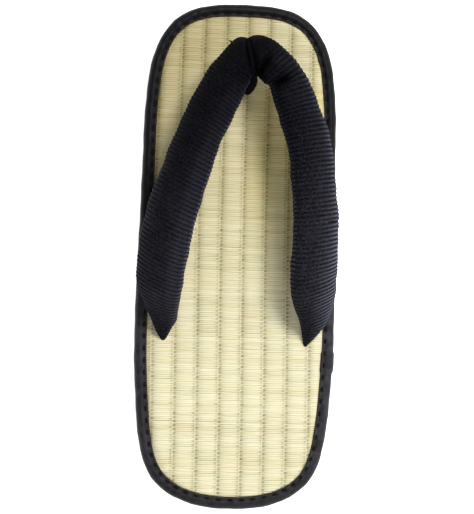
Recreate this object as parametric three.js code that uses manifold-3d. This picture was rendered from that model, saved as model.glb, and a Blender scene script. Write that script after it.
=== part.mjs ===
// One zori sandal: a black foam-rubber outsole, a woven rush insole whose edge is bound with cloth tape,
// and a padded cloth strap in two arms, cinched at the toe by a thong.
// Millimetres, +Z up, toe towards +Y. The origin is on the floor under the middle of the sole.
import * as THREE from "three";
import { mergeVertices } from "three/addons/utils/BufferGeometryUtils.js";
import Module from "manifold-3d";

// Outline of the sole, measured over the edge tape. Its ends are superellipses: squareness 2 is an ellipse.
const LENGTH = 265;
const HALF_LENGTH = LENGTH / 2;
const BALL_HALF_WIDTH = 50.9;
const WAIST_HALF_WIDTH = 52.6;
const HEEL_HALF_WIDTH = 50.6;
const WAIST_Y = -42;
const BALL_Y = 60;
const HEEL_Y = -100;
const TOE_FLATNESS = 6.3;
const HEEL_FLATNESS = 8.3;
const TOE_SQUARENESS = 2.95;
const HEEL_SQUARENESS = 2.17;
const OUTLINE_STEPS = 104;
const CURVE_STEPS = 1200;
const TANGENT_MARGIN = 0.002;

// Heights of the layers.
const BALL_THICKNESS = 12;
const HEEL_THICKNESS = 14;
const WEDGE_FROM_Y = 45;
const WEDGE_TO_Y = -70;
const TOE_SPRING = 2;
const TOE_SPRING_FROM_Y = 82;
const INSOLE_HEIGHT = 7;
const GAP = 0.3;

// Half-width at a place along the sole, before its ends are rounded off.
function fullHalfWidth(y) {
  const { lerp, smoothstep } = THREE.MathUtils;
  if (y > WAIST_Y) {
    return lerp(WAIST_HALF_WIDTH, BALL_HALF_WIDTH, smoothstep(y, WAIST_Y, BALL_Y));
  }
  return lerp(HEEL_HALF_WIDTH, WAIST_HALF_WIDTH, smoothstep(y, HEEL_Y, WAIST_Y));
}

// The floor side rises a little under the toe. The outsole's top follows it, and is higher at the heel.
function ground(y) {
  const share = Math.max(0, (y - TOE_SPRING_FROM_Y) / (HALF_LENGTH - TOE_SPRING_FROM_Y));
  return TOE_SPRING * share * share;
}

function soleTop(y) {
  const wedge = 1 - THREE.MathUtils.smoothstep(y, WEDGE_TO_Y, WEDGE_FROM_Y);
  return ground(y) + THREE.MathUtils.lerp(BALL_THICKNESS, HEEL_THICKNESS, wedge);
}

function footbed(y) {
  return soleTop(y) + INSOLE_HEIGHT;
}

// The outline in equal steps, with normals: the right half from toe to heel, then the left half back.
function makeOutline() {
  const half = [];
  for (let i = 0; i <= CURVE_STEPS; i++) {
    const turn = (Math.PI * i) / CURVE_STEPS;
    const toeward = turn < Math.PI / 2;
    const squareness = toeward ? TOE_SQUARENESS : HEEL_SQUARENESS;
    const flatness = toeward ? TOE_FLATNESS : HEEL_FLATNESS;
    const y = HALF_LENGTH * Math.sign(Math.cos(turn)) * Math.abs(Math.cos(turn)) ** (2 / flatness);
    half.push(new THREE.Vector2(fullHalfWidth(y) * Math.sin(turn) ** (2 / squareness), y));
  }
  const curve = new THREE.Path().setFromPoints(half);
  const right = [];
  for (let i = 0; i <= OUTLINE_STEPS / 2; i++) {
    const at = (2 * i) / OUTLINE_STEPS;
    const along = curve.getTangentAt(THREE.MathUtils.clamp(at, TANGENT_MARGIN, 1 - TANGENT_MARGIN));
    const normal = new THREE.Vector2(-along.y, along.x);
    const onAxis = i === 0 || 2 * i === OUTLINE_STEPS;
    const point = curve.getPointAt(at);
    if (onAxis) {
      point.x = 0;
      normal.set(0, Math.sign(point.y));
    }
    right.push({ point, normal });
  }
  const left = right.slice(1, -1).reverse().map(({ point, normal }) => ({
    point: new THREE.Vector2(-point.x, point.y),
    normal: new THREE.Vector2(-normal.x, normal.y),
  }));
  return [...right, ...left];
}

const outline = makeOutline();

// A ring that follows the outline a set distance inside it, at a height above one of the layer surfaces.
function ring({ inset, above, z }) {
  return outline.map(({ point, normal }) => {
    const x = point.x - normal.x * inset;
    const y = point.y - normal.y * inset;
    return new THREE.Vector3(x, y, above(y) + z);
  });
}

// A skin over a list of rings. The list closes on itself, or its two ends are capped by the given function.
function skin(rings, cap) {
  const count = rings[0].length;
  const points = rings.flat();
  const index = [];
  const joins = cap ? rings.length - 1 : rings.length;
  for (let r = 0; r < joins; r++) {
    const low = r * count;
    const high = ((r + 1) % rings.length) * count;
    for (let i = 0; i < count; i++) {
      const next = (i + 1) % count;
      index.push(low + i, high + i, high + next, low + i, high + next, low + next);
    }
  }
  if (cap) {
    for (const [a, b, c] of cap(count)) {
      const last = (rings.length - 1) * count;
      index.push(a, b, c, last + a, last + c, last + b);
    }
  }
  return new THREE.BufferGeometry().setFromPoints(points).setIndex(index);
}

// Caps: strips from side to side for a ring that follows the outline, and a fan for a small convex section.
function stripCap(count) {
  const triangles = [];
  for (let i = 0; i < count / 2; i++) {
    const mirror = (count - i) % count;
    const nextMirror = count - i - 1;
    triangles.push([i, i + 1, nextMirror], [i, nextMirror, mirror]);
  }
  return triangles.filter(([a, b, c]) => a !== b && b !== c && a !== c);
}

function fanCap(count) {
  return Array.from({ length: count - 2 }, (_, i) => [0, i + 1, i + 2]);
}

// The strap's sections. rise is the height of a section's centre above the footbed. heading is the way
// that the outer edge faces, in degrees from +X. roll is how many degrees the outer edge hangs below the
// inner one. width and thick are its full sizes. Where the two arms meet, the strap is cinched into a waist.
const JOIN = { x: 2.4, y: 101.9, rise: 27.4, heading: 100, roll: 18, width: 15.4, thick: 7.0 };
const WAIST_HALF_LENGTH = 1.5;

// From the left tail, which goes down through the insole, over the join to the right tail.
const STRAP_ROWS = [
  { x: -37.6, y: -43.4, rise: -14.0, heading: 180, roll: 0, width: 4.4, thick: 3.8 },
  { x: -37.6, y: -43.4, rise: -7.0, heading: 180, roll: 0, width: 4.4, thick: 3.8 },
  { x: -37.6, y: -42.2, rise: -0.6, heading: 180, roll: 2, width: 4.8, thick: 4.6 },
  { x: -37.6, y: -38.6, rise: 3.2, heading: 181, roll: 7, width: 8.2, thick: 6.2 },
  { x: -37.8, y: -33.4, rise: 7.4, heading: 182, roll: 13, width: 12.2, thick: 7.6 },
  { x: -39.2, y: -26.8, rise: 12.6, heading: 182, roll: 19, width: 16.4, thick: 9.0 },
  { x: -40.5, y: -19.8, rise: 18.0, heading: 180, roll: 25, width: 21.4, thick: 10.0 },
  { x: -40.7, y: -11.6, rise: 23.6, heading: 178, roll: 28, width: 24.8, thick: 10.6 },
  { x: -39.6, y: 3.6, rise: 31.0, heading: 172, roll: 31, width: 27.0, thick: 11.0 },
  { x: -36.0, y: 21.0, rise: 35.6, heading: 166, roll: 32, width: 27.4, thick: 11.0 },
  { x: -30.0, y: 41.9, rise: 37.2, heading: 161, roll: 31, width: 25.8, thick: 11.0 },
  { x: -23.5, y: 60.1, rise: 36.4, heading: 158, roll: 29, width: 24.0, thick: 11.0 },
  { x: -16.9, y: 76.1, rise: 34.0, heading: 153, roll: 27, width: 23.8, thick: 11.0 },
  { x: -11.6, y: 86.2, rise: 31.8, heading: 144, roll: 25, width: 23.0, thick: 11.0 },
  { x: -7.6, y: 92.8, rise: 30.1, heading: 132, roll: 22, width: 21.4, thick: 10.9 },
  { x: -3.9, y: 98.0, rise: 28.7, heading: 120, roll: 20, width: 20.0, thick: 10.6 },
  { x: -1.3, y: 101.0, rise: 27.9, heading: 107, roll: 18, width: 19.8, thick: 9.6 },
  alongJoin(-WAIST_HALF_LENGTH),
  alongJoin(WAIST_HALF_LENGTH),
  { x: 5.9, y: 102.5, rise: 28.0, heading: 92, roll: 18, width: 20.2, thick: 9.8 },
  { x: 8.9, y: 101.9, rise: 28.8, heading: 79, roll: 19, width: 20.8, thick: 11.2 },
  { x: 12.6, y: 99.5, rise: 29.8, heading: 62, roll: 21, width: 20.8, thick: 11.6 },
  { x: 16.6, y: 95.6, rise: 30.8, heading: 44, roll: 23, width: 20.4, thick: 11.4 },
  { x: 20.0, y: 91.1, rise: 31.8, heading: 31, roll: 24, width: 20.2, thick: 11.0 },
  { x: 25.5, y: 80.2, rise: 34.0, heading: 22, roll: 26, width: 22.2, thick: 11.0 },
  { x: 32.2, y: 60.0, rise: 36.6, heading: 14, roll: 29, width: 24.0, thick: 11.0 },
  { x: 35.4, y: 41.8, rise: 37.2, heading: 9, roll: 31, width: 24.8, thick: 11.0 },
  { x: 37.2, y: 23.0, rise: 35.6, heading: 5, roll: 32, width: 25.8, thick: 11.0 },
  { x: 38.0, y: 3.7, rise: 31.0, heading: 2, roll: 31, width: 26.4, thick: 11.0 },
  { x: 38.2, y: -11.6, rise: 23.6, heading: 1, roll: 28, width: 25.8, thick: 10.6 },
  { x: 39.1, y: -20.0, rise: 17.8, heading: 0, roll: 24, width: 22.6, thick: 10.0 },
  { x: 40.3, y: -27.0, rise: 12.4, heading: 0, roll: 19, width: 17.8, thick: 9.0 },
  { x: 40.2, y: -33.8, rise: 7.2, heading: -2, roll: 13, width: 12.8, thick: 7.6 },
  { x: 39.2, y: -39.0, rise: 3.0, heading: -4, roll: 7, width: 8.6, thick: 6.2 },
  { x: 37.6, y: -43.6, rise: -0.8, heading: -4, roll: 2, width: 4.8, thick: 4.6 },
  { x: 37.2, y: -44.6, rise: -7.0, heading: 0, roll: 0, width: 4.4, thick: 3.8 },
  { x: 37.2, y: -44.6, rise: -14.0, heading: 0, roll: 0, width: 4.4, thick: 3.8 },
];
const STRAP_SQUARENESS = 2.5;
const STRAP_SIDES = 20;
const STRAP_STEPS_PER_ROW = 2;

// The thong's post, from its tail in the sole up to the join, and the band that goes round the join.
const THONG_ROWS = [
  { x: 3.8, y: 88.6, rise: -14.0, heading: 0, roll: 0, width: 5.4, thick: 4.8 },
  { x: 3.8, y: 88.6, rise: -5.0, heading: 0, roll: 0, width: 5.4, thick: 4.8 },
  { x: 3.8, y: 88.8, rise: 0.5, heading: 0, roll: 0, width: 7.0, thick: 6.4 },
  { x: 3.8, y: 90.0, rise: 8.0, heading: 0, roll: 0, width: 7.6, thick: 6.6 },
  { x: 3.7, y: 92.2, rise: 16.0, heading: 0, roll: 0, width: 7.0, thick: 6.2 },
  { x: 3.2, y: 96.0, rise: 23.0, heading: 0, roll: 0, width: 4.2, thick: 5.6 },
  { x: 2.8, y: 98.4, rise: 26.0, heading: 0, roll: 0, width: 3.2, thick: 5.2 },
];
const THONG_SQUARENESS = 2.6;
const THONG_SIDES = 16;
const THONG_STEPS_PER_ROW = 2;
const BAND_THICKNESS = 1.6;
const BAND_WIDTH = 3.2;

// The join's own section, moved along the strap by a distance.
function alongJoin(distance) {
  const heading = THREE.MathUtils.degToRad(JOIN.heading);
  return { ...JOIN, x: JOIN.x + distance * Math.sin(heading), y: JOIN.y - distance * Math.cos(heading) };
}

// A smooth curve through the rows of a table, for every one of its columns at once.
function smoothRows(rows, stepsPerRow) {
  const columns = Object.keys(rows[0]);
  const made = [];
  for (let r = 0; r < rows.length - 1; r++) {
    const four = [r - 1, r, r + 1, r + 2].map((k) => rows[THREE.MathUtils.clamp(k, 0, rows.length - 1)]);
    for (let s = 0; s < stepsPerRow; s++) {
      const t = s / stepsPerRow;
      made.push(Object.fromEntries(columns.map((c) => [c, catmullRom(four.map((row) => row[c]), t)])));
    }
  }
  return [...made, rows.at(-1)];
}

function catmullRom([a, b, c, d], t) {
  const rate = (c - a) / 2;
  const bend = a - 2.5 * b + 2 * c - d / 2;
  const swing = (3 * (b - c) + d - a) / 2;
  return b + t * (rate + t * (bend + t * swing));
}

// A padded tube through the rows: a flat, rounded section at each, grown by the given amount all round.
function tube(rows, { squareness, sides, grow }) {
  const centres = rows.map(({ x, y, rise }) => new THREE.Vector3(x, y, footbed(y) + rise));
  const rings = rows.map((row, k) => {
    const forward = centres[Math.min(k + 1, rows.length - 1)].clone().sub(centres[Math.max(k - 1, 0)]);
    const heading = THREE.MathUtils.degToRad(row.heading);
    const level = new THREE.Vector3(Math.cos(heading), Math.sin(heading), 0);
    const upright = forward.cross(level).normalize();
    const roll = THREE.MathUtils.degToRad(row.roll);
    const across = level.clone().multiplyScalar(Math.cos(roll)).addScaledVector(upright, -Math.sin(roll));
    const through = upright.clone().multiplyScalar(Math.cos(roll)).addScaledVector(level, Math.sin(roll));
    return sectionPoints(squareness, sides).map(([a, b]) => centres[k].clone()
      .addScaledVector(across, a * (row.width / 2 + grow))
      .addScaledVector(through, b * (row.thick / 2 + grow)));
  });
  return skin(rings, fanCap);
}

function sectionPoints(squareness, sides) {
  return Array.from({ length: sides }, (_, i) => {
    const turn = (2 * Math.PI * i) / sides;
    return [Math.cos(turn), Math.sin(turn)].map((c) => Math.sign(c) * Math.abs(c) ** (2 / squareness));
  });
}

// Solids that can be cut and joined.
const MERGE_DISTANCE = 1e-3;
const wasm = await Module();
wasm.setup();

function solid(geometry) {
  const merged = mergeVertices(geometry, MERGE_DISTANCE);
  const made = new wasm.Manifold(new wasm.Mesh({
    numProp: 3,
    vertProperties: Float32Array.from(merged.attributes.position.array),
    triVerts: Uint32Array.from(merged.index.array),
  }));
  return made.volume() < 0 ? solid(turnedOut(merged)) : made;
}

function turnedOut(geometry) {
  const index = Array.from(geometry.index.array);
  for (let i = 0; i < index.length; i += 3) {
    [index[i + 1], index[i + 2]] = [index[i + 2], index[i + 1]];
  }
  return geometry.clone().setIndex(index);
}

function geometryOf(manifold) {
  const { vertProperties, triVerts } = manifold.getMesh();
  const geometry = new THREE.BufferGeometry();
  geometry.setAttribute("position", new THREE.BufferAttribute(Float32Array.from(vertProperties), 3));
  geometry.setIndex(new THREE.BufferAttribute(Uint32Array.from(triVerts), 1));
  geometry.computeVertexNormals();
  return geometry;
}

function strapSolid(grow) {
  const rows = smoothRows(STRAP_ROWS, STRAP_STEPS_PER_ROW);
  return solid(tube(rows, { squareness: STRAP_SQUARENESS, sides: STRAP_SIDES, grow }));
}

// The thong: a flattened post, and a band that goes once round the strap where its two arms meet.
function thongSolid(grow) {
  const rows = smoothRows(THONG_ROWS, THONG_STEPS_PER_ROW);
  const post = solid(tube(rows, { squareness: THONG_SQUARENESS, sides: THONG_SIDES, grow }));
  const ends = [alongJoin(-BAND_WIDTH / 2 - grow), alongJoin(BAND_WIDTH / 2 + grow)];
  const bandGrow = GAP + BAND_THICKNESS + grow;
  const band = solid(tube(ends, { squareness: STRAP_SQUARENESS, sides: STRAP_SIDES, grow: bandGrow }));
  return post.add(band);
}

// Layers that follow the outline, as rows from one end of the edge's profile to the other.
const OUTSOLE_EDGE = [
  { inset: 2.8, above: ground, z: 0 },
  { inset: 1.5, above: ground, z: 1.3 },
  { inset: 1.0, above: ground, z: 4.5 },
  { inset: 1.0, above: soleTop, z: -1.2 },
  { inset: 1.8, above: soleTop, z: 0 },
];
const TAPE_PROFILE = [
  { inset: 8.0, above: soleTop, z: 0.3 },
  { inset: 1.7, above: soleTop, z: 0.3 },
  { inset: 0.4, above: soleTop, z: 1.4 },
  { inset: 0.0, above: soleTop, z: 3.4 },
  { inset: 0.5, above: soleTop, z: 5.5 },
  { inset: 2.0, above: soleTop, z: 6.9 },
  { inset: 3.8, above: soleTop, z: 7.2 },
  { inset: 6.3, above: soleTop, z: 6.2 },
  { inset: 6.0, above: soleTop, z: 5.5 },
  { inset: 3.6, above: soleTop, z: 6.1 },
  { inset: 2.0, above: soleTop, z: 5.4 },
  { inset: 1.1, above: soleTop, z: 3.3 },
  { inset: 2.0, above: soleTop, z: 1.5 },
  { inset: 8.0, above: soleTop, z: 1.3 },
];
const INSOLE_EDGE = [
  { inset: 8.4, above: soleTop, z: 0.3 },
  { inset: 8.4, above: soleTop, z: 1.7 },
  { inset: 2.5, above: soleTop, z: 1.8 },
  { inset: 1.5, above: soleTop, z: 3.3 },
  { inset: 2.2, above: soleTop, z: 5.0 },
  { inset: 3.6, above: soleTop, z: 5.6 },
  { inset: 6.3, above: soleTop, z: 5.0 },
  { inset: 7.4, above: soleTop, z: 6.2 },
  { inset: 9.4, above: soleTop, z: INSOLE_HEIGHT },
];

function layer(rows) {
  return solid(skin(rows.map(ring), stripCap));
}

const strap = strapSolid(0);
const thong = thongSolid(0).subtract(strapSolid(GAP));
const sockets = strapSolid(GAP).add(thongSolid(GAP));

const PIECES = [
  { name: "outsole", make: () => layer(OUTSOLE_EDGE).subtract(sockets), color: 0x1b1b1d, roughness: 0.85 },
  { name: "insole", make: () => layer(INSOLE_EDGE).subtract(sockets), color: 0xd9cf9f, roughness: 0.7 },
  { name: "edge_tape", make: () => solid(skin(TAPE_PROFILE.map(ring))), color: 0x2b2b2d, roughness: 0.7 },
  { name: "strap", make: () => strap, color: 0x17171c, roughness: 0.8 },
  { name: "toe_thong", make: () => thong, color: 0x121216, roughness: 0.85 },
];

const sandal = new THREE.Group();
for (const { name, make, color, roughness } of PIECES) {
  const material = new THREE.MeshStandardMaterial({ color, roughness, metalness: 0 });
  const mesh = new THREE.Mesh(geometryOf(make()), material);
  mesh.name = name;
  sandal.add(mesh);
}

export default sandal;
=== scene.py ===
"""A zori sandal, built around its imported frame: sole, rush insole, edge tape, padded strap, toe thong."""

import math

import bmesh
import bpy
import numpy as np
from mathutils import Matrix, Vector


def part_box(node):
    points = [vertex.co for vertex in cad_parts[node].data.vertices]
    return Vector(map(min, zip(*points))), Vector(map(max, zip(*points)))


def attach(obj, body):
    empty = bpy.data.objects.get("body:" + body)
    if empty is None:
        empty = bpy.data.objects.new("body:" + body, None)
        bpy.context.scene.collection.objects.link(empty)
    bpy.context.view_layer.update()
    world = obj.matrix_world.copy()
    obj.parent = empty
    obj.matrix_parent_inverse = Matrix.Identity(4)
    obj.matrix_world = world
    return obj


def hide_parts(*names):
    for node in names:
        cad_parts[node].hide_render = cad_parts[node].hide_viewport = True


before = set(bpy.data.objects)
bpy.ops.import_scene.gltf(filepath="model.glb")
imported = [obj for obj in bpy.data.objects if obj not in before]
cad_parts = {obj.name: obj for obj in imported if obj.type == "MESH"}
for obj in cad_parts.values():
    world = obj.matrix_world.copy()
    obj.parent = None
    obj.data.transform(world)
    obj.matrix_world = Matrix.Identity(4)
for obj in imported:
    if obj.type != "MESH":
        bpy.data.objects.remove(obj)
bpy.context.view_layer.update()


# -------------------------------------------------------------------------------- The outsole
# A slab of black foam rubber, cut to the outline and glued under the insole. It is a little thicker at the
# heel than at the ball, lifts slightly at the toe, and is moulded with fine wavy grooves on its floor side.
MM = 0.001
_, tape_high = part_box("edge_tape")
HALF_LENGTH = tape_high.y
WAIST_HALF_WIDTH = tape_high.x
BALL_HALF_WIDTH = 50.9 * MM
HEEL_HALF_WIDTH = 50.6 * MM
WAIST_Y, BALL_Y, HEEL_Y = -42 * MM, 60 * MM, -100 * MM
TOE_FLATNESS, HEEL_FLATNESS = 6.3, 8.3
TOE_SQUARENESS, HEEL_SQUARENESS = 2.95, 2.17
BALL_THICKNESS, HEEL_THICKNESS = 12 * MM, 14 * MM
WEDGE_FROM_Y, WEDGE_TO_Y = 45 * MM, -70 * MM
TOE_SPRING, TOE_SPRING_FROM_Y = 2 * MM, 82 * MM
INSOLE_HEIGHT = 7 * MM
WELD_DISTANCE = 1e-6


def smoothstep(value, low, high):
    """0 below low, 1 above high, and smooth in between."""
    share = np.clip((value - low) / (high - low), 0, 1)
    return share * share * (3 - 2 * share)


def full_half_width(y):
    """Half the sole's width before its ends are rounded off."""
    forward = smoothstep(y, WAIST_Y, BALL_Y)
    backward = 1 - smoothstep(y, HEEL_Y, WAIST_Y)
    wide = WAIST_HALF_WIDTH + (BALL_HALF_WIDTH - WAIST_HALF_WIDTH) * forward
    return np.where(y > WAIST_Y, wide, WAIST_HALF_WIDTH + (HEEL_HALF_WIDTH - WAIST_HALF_WIDTH) * backward)


def ground(y):
    """The height of the sole's floor side, which springs up at the toe."""
    return TOE_SPRING * np.maximum(0, (y - TOE_SPRING_FROM_Y) / (HALF_LENGTH - TOE_SPRING_FROM_Y)) ** 2


def sole_top(y):
    wedge = 1 - smoothstep(y, WEDGE_TO_Y, WEDGE_FROM_Y)
    return ground(y) + BALL_THICKNESS + (HEEL_THICKNESS - BALL_THICKNESS) * wedge


def footbed(y):
    return sole_top(y) + INSOLE_HEIGHT


def outline(steps):
    """Points and outward normals round the edge: from the toe down the right side, and back up the left."""
    turn = np.linspace(0, np.pi, 6001)
    flatness = np.where(turn < np.pi / 2, TOE_FLATNESS, HEEL_FLATNESS)
    squareness = np.where(turn < np.pi / 2, TOE_SQUARENESS, HEEL_SQUARENESS)
    y = HALF_LENGTH * np.sign(np.cos(turn)) * np.abs(np.cos(turn)) ** (2 / flatness)
    x = full_half_width(y) * np.sin(turn).clip(0) ** (2 / squareness)
    along = np.concatenate([[0], np.cumsum(np.hypot(np.diff(x), np.diff(y)))])
    at = np.linspace(0, along[-1], steps // 2 + 1)
    right = np.stack([np.interp(at, along, x), np.interp(at, along, y)], 1)
    right[[0, -1], 0] = 0
    points = np.concatenate([right, right[-2:0:-1] * [-1, 1]])
    tangents = np.roll(points, -1, 0) - np.roll(points, 1, 0)
    normals = np.stack([-tangents[:, 1], tangents[:, 0]], 1)
    return points, normals / np.linalg.norm(normals, axis=1, keepdims=True)


def edge_rings(profile, steps):
    """Rings that follow the outline. A profile row is an inset, a share of the sole's height and a lift."""
    points, normals = outline(steps)
    rings = []
    for inset, share, lift in profile:
        x, y = (points - normals * inset * MM).T
        rings.append(np.stack([x, y, ground(y) + share * (sole_top(y) - ground(y)) + lift * MM], 1))
    return np.array(rings)


def across(ring, columns):
    """Rows of points straight across a ring, from its right side to its left."""
    half = len(ring) // 2
    right = ring[: half + 1]
    left = ring[-np.arange(half + 1) % len(ring)]
    share = np.linspace(0, 1, columns)[None, :, None]
    return right[:, None] * (1 - share) + left[:, None] * share


def grid_faces(rows, columns, closed_rows=False, closed_columns=False):
    """Four-cornered faces over a grid of points."""
    index = np.arange(rows * columns).reshape(rows, columns)
    if closed_rows:
        index = np.concatenate([index, index[:1]])
    if closed_columns:
        index = np.concatenate([index, index[:, :1]], 1)
    return np.stack([index[:-1, :-1], index[1:, :-1], index[1:, 1:], index[:-1, 1:]], -1).reshape(-1, 4)


def joined(sheets):
    """One list of points and one of faces from several (points, faces)."""
    points = [np.reshape(p, (-1, 3)) for p, _ in sheets]
    starts = np.cumsum([0] + [len(p) for p in points[:-1]])
    return np.concatenate(points), np.concatenate([f + start for (_, f), start in zip(sheets, starts)])


def weld_points(mesh):
    """Joins points that coincide, drops the faces that this empties, and turns every face outward."""
    cleaned = bmesh.new()
    cleaned.from_mesh(mesh)
    bmesh.ops.remove_doubles(cleaned, verts=cleaned.verts, dist=WELD_DISTANCE)
    bmesh.ops.dissolve_degenerate(cleaned, edges=cleaned.edges, dist=WELD_DISTANCE / 10)
    bmesh.ops.recalc_face_normals(cleaned, faces=cleaned.faces)
    if cleaned.calc_volume(signed=True) < 0:
        bmesh.ops.reverse_faces(cleaned, faces=cleaned.faces)
    cleaned.to_mesh(mesh)
    cleaned.free()


def make_piece(name, points, faces, material, weld=True, flat_cloth=None, **values):
    """A smooth mesh in the sandal's own frame, riding on its one body.

    values are numbers that its first points hold. flat_cloth is where its first face corners lie on the
    cloth before it is bent.
    """
    mesh = bpy.data.meshes.new(name)
    mesh.from_pydata(np.reshape(points, (-1, 3)).tolist(), [], faces.tolist())
    if flat_cloth is not None:
        filled = np.zeros((len(mesh.loops), 2), np.float32)
        filled[: len(flat_cloth)] = flat_cloth
        mesh.uv_layers.new(name="Cloth").data.foreach_set("uv", filled.ravel())
    for value_name, numbers in values.items():
        filled = np.zeros(len(mesh.vertices), np.float32)
        filled[: numbers.size] = numbers.ravel()
        mesh.attributes.new(value_name, "FLOAT", "POINT").data.foreach_set("value", filled)
    if weld:
        weld_points(mesh)
    mesh.shade_smooth()
    mesh.materials.append(material)
    made = bpy.data.objects.new(name, mesh)
    bpy.context.scene.collection.objects.link(made)
    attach(made, "root")
    return made


class Wire:
    """A socket in a material's nodes. Arithmetic on wires adds Math nodes."""

    def __init__(self, tree, socket):
        self.tree = tree
        self.socket = socket

    def node(self, kind, settings, inputs, output=0):
        """Adds a node: its settings first, then the values or wires of its inputs."""
        made = self.tree.nodes.new(kind)
        for name, value in settings.items():
            if name == "stops":
                ramp = made.color_ramp
                while len(ramp.elements) < len(value):
                    ramp.elements.new(1)
                for stop, (place, colour) in zip(ramp.elements, value):
                    stop.position = place
                    stop.color = (*colour, 1)
            else:
                setattr(made, name, value)
        for name, value in inputs.items():
            if isinstance(value, Wire):
                self.tree.links.new(value.socket, made.inputs[name])
            else:
                made.inputs[name].default_value = value
        return Wire(self.tree, made.outputs[output])

    def math(self, operation, *values):
        return self.node("ShaderNodeMath", {"operation": operation}, dict(enumerate(values)))

    def __add__(self, other):
        return self.math("ADD", self, other)

    def __sub__(self, other):
        return self.math("SUBTRACT", self, other)

    def __rsub__(self, other):
        return self.math("SUBTRACT", other, self)

    def __mul__(self, other):
        return self.math("MULTIPLY", self, other)

    __radd__ = __add__
    __rmul__ = __mul__

    def stretched(self, x, y, z):
        return self.node("ShaderNodeVectorMath", {"operation": "MULTIPLY"}, {0: self, 1: (x, y, z)})

    def noise(self, scale, detail=2.0):
        return self.node("ShaderNodeTexNoise", {}, {"Vector": self, "Scale": scale, "Detail": detail}, "Fac")

    def between(self, low, high):
        """0 below low, 1 above high, and smooth in between."""
        settings = {"interpolation_type": "SMOOTHSTEP"}
        return self.node("ShaderNodeMapRange", settings, {"Value": self, "From Min": low, "From Max": high})

    def blend(self, first, second):
        """From the first colour to the second as this wire goes from 0 to 1."""
        inputs = {"Factor": self, 6: first, 7: second}
        return self.node("ShaderNodeMix", {"data_type": "RGBA"}, inputs, 2)

    def tinted(self, share, tint):
        """This colour, multiplied by the tint as the share goes from 0 to 1."""
        settings = {"data_type": "RGBA", "blend_type": "MULTIPLY"}
        return self.node("ShaderNodeMix", settings, {"Factor": share, 6: self, 7: tint}, 2)

    def along(self, axis):
        """How far this place lies along an axis."""
        return self.node("ShaderNodeSeparateXYZ", {}, {"Vector": self}, axis)

    def held(self, name):
        """The numbers that the mesh's points hold under a name."""
        return self.node("ShaderNodeAttribute", {"attribute_name": name}, {}, "Fac")


def start_material(name, **same_all_over):
    """A material, with its plain values set on its own sockets, and the wire of its place in millimetres."""
    material = bpy.data.materials.new(name)
    material.use_nodes = True
    surface = material.node_tree.nodes["Principled BSDF"]
    for socket, value in same_all_over.items():
        surface.inputs[socket.replace("_", " ")].default_value = value
    place = Wire(material.node_tree, None).node("ShaderNodeTexCoord", {}, {}, "Object")
    return material, place.stretched(1 / MM, 1 / MM, 1 / MM)


def cover(material, colour, roughness, relief, depth):
    """Joins what varies over a surface to its material. relief goes from 0 to 1, and is depth high at 1."""
    surface = material.node_tree.nodes["Principled BSDF"].inputs
    inputs = {"Height": relief, "Distance": depth, "Strength": 1.0}
    normal = relief.node("ShaderNodeBump", {}, inputs)
    for socket, wire in (("Base Color", colour), ("Roughness", roughness), ("Normal", normal)):
        material.node_tree.links.new(wire.socket, surface[socket])


def foam_rubber():
    """Closed-cell foam with a fine pitted skin, a little greyer where it is scuffed."""
    material, place = start_material("Foam rubber", Specular_IOR_Level=0.35)
    pits = place.noise(2.4, 3.0)
    patches = place.noise(0.06)
    scuff = (patches * 0.5 + pits * 0.5).between(0.42, 0.7)
    colour = scuff.blend((0.010, 0.010, 0.011, 1), (0.028, 0.027, 0.028, 1))
    cover(material, colour, 0.78 + pits * 0.2, pits, 0.25 * MM)
    return material


SOLE_STEPS = 820
SOLE_COLUMNS = 64
SOLE_EDGE = [
    (2.9, 0, 0.0), (2.3, 0, 0.12), (1.75, 0, 0.55), (1.4, 0, 1.3), (1.15, 0, 2.4), (1.0, 0, 4.0),
    (1.05, 0.5, 0), (1.0, 1, -2.2), (1.0, 1, -1.2), (1.15, 1, -0.5), (1.45, 1, -0.12), (1.9, 1, 0.0),
]
GROOVE_PITCH, GROOVE_DEPTH = 4.6 * MM, 0.9 * MM
GROOVE_WAVE, GROOVE_WAVE_LENGTH = 1.1 * MM, 15 * MM
PLAIN_BORDER = 7 * MM


def inset_of(x, y):
    """How far inside the outline each point is."""
    points, normals = outline(1200)
    inset = np.empty(len(x))
    for part in np.array_split(np.arange(len(x)), 1 + len(x) // 4000):
        away = points[None] - np.stack([x[part], y[part]], 1)[:, None]
        nearest = (away**2).sum(-1).argmin(1)
        inset[part] = (away[np.arange(len(part)), nearest] * normals[nearest]).sum(-1)
    return inset


def tread(points):
    """Lifts points on the floor side into the grooves."""
    x, y, z = points.reshape(-1, 3).T
    wave = GROOVE_WAVE * np.sin(2 * np.pi * x / GROOVE_WAVE_LENGTH)
    groove = smoothstep(np.cos(2 * np.pi * (y + wave) / GROOVE_PITCH), 0.1, 0.8)
    plain = smoothstep(inset_of(x, y), PLAIN_BORDER, PLAIN_BORDER + 1.5 * MM)
    return np.stack([x, y, z + GROOVE_DEPTH * groove * plain], 1)


def outsole():
    rings = edge_rings(SOLE_EDGE, SOLE_STEPS)
    floor_side = across(rings[0], SOLE_COLUMNS)
    glued_side = across(rings[-1], 3)
    points, faces = joined([
        (rings, grid_faces(len(rings), SOLE_STEPS, closed_columns=True)),
        (tread(floor_side), grid_faces(*floor_side.shape[:2])),
        (glued_side, grid_faces(*glued_side.shape[:2])),
    ])
    return make_piece("foam_outsole", points, faces, foam_rubber())


sole = outsole()
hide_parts("outsole")


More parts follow.
